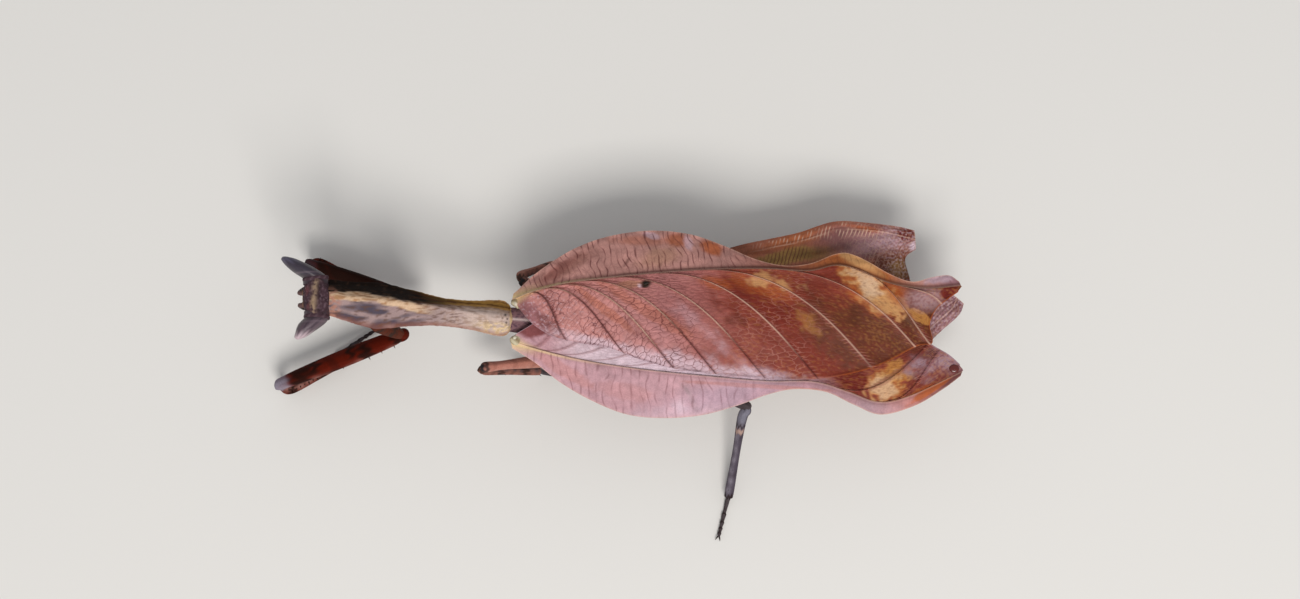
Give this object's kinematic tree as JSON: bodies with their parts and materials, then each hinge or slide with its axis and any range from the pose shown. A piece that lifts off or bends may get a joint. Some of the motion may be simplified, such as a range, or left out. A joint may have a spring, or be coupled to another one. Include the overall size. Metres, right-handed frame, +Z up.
{
  "type": "dead leaf mantis",
  "caption": "Slender brown mantis standing low, forelegs stretched ahead, its broad wings folded flat over the back with lobed edges, a midrib and a notched tip like a withered leaf",
  "frame": {"origin": "middle of the whole animal on the floor it stands on", "axes": "+X towards the wing tips, +Y towards the animal's right side, +Z up"},
  "size_m": [0.0532, 0.0246, 0.0133],
  "materials": {
    "body": "matt, finely grained",
    "eye": "satin",
    "antenna": "matt",
    "abdomen": "satin",
    "forewing": "satin with a dusty bloom",
    "hindwing": "satin, slightly translucent",
    "foreleg": "satin",
    "walking_leg": "satin"
  },
  "bodies": {
    "root": {"head": "body", "eye_left": "eye", "eye_right": "eye", "antenna_left": "antenna", "antenna_right": "antenna", "prothorax": "body", "thorax": "body", "abdomen": "abdomen", "cercus_left": "antenna", "cercus_right": "antenna", "forewing_left": "forewing", "forewing_right": "forewing", "hindwing_left": "hindwing", "hindwing_right": "hindwing", "fore_coxa_left": "foreleg", "fore_femur_left": "foreleg", "fore_tibia_left": "foreleg", "fore_tarsus_left": "foreleg", "fore_coxa_right": "foreleg", "fore_femur_right": "foreleg", "fore_tibia_right": "foreleg", "fore_tarsus_right": "foreleg", "mid_coxa_left": "walking_leg", "mid_femur_left": "walking_leg", "mid_tibia_left": "walking_leg", "mid_tarsus_left": "walking_leg", "mid_coxa_right": "walking_leg", "mid_femur_right": "walking_leg", "mid_tibia_right": "walking_leg", "mid_tarsus_right": "walking_leg", "hind_coxa_left": "walking_leg", "hind_femur_left": "walking_leg", "hind_tibia_left": "walking_leg", "hind_tarsus_left": "walking_leg", "hind_coxa_right": "walking_leg", "hind_femur_right": "walking_leg", "hind_tibia_right": "walking_leg", "hind_tarsus_right": "walking_leg"}
  },
  "joints": []
}
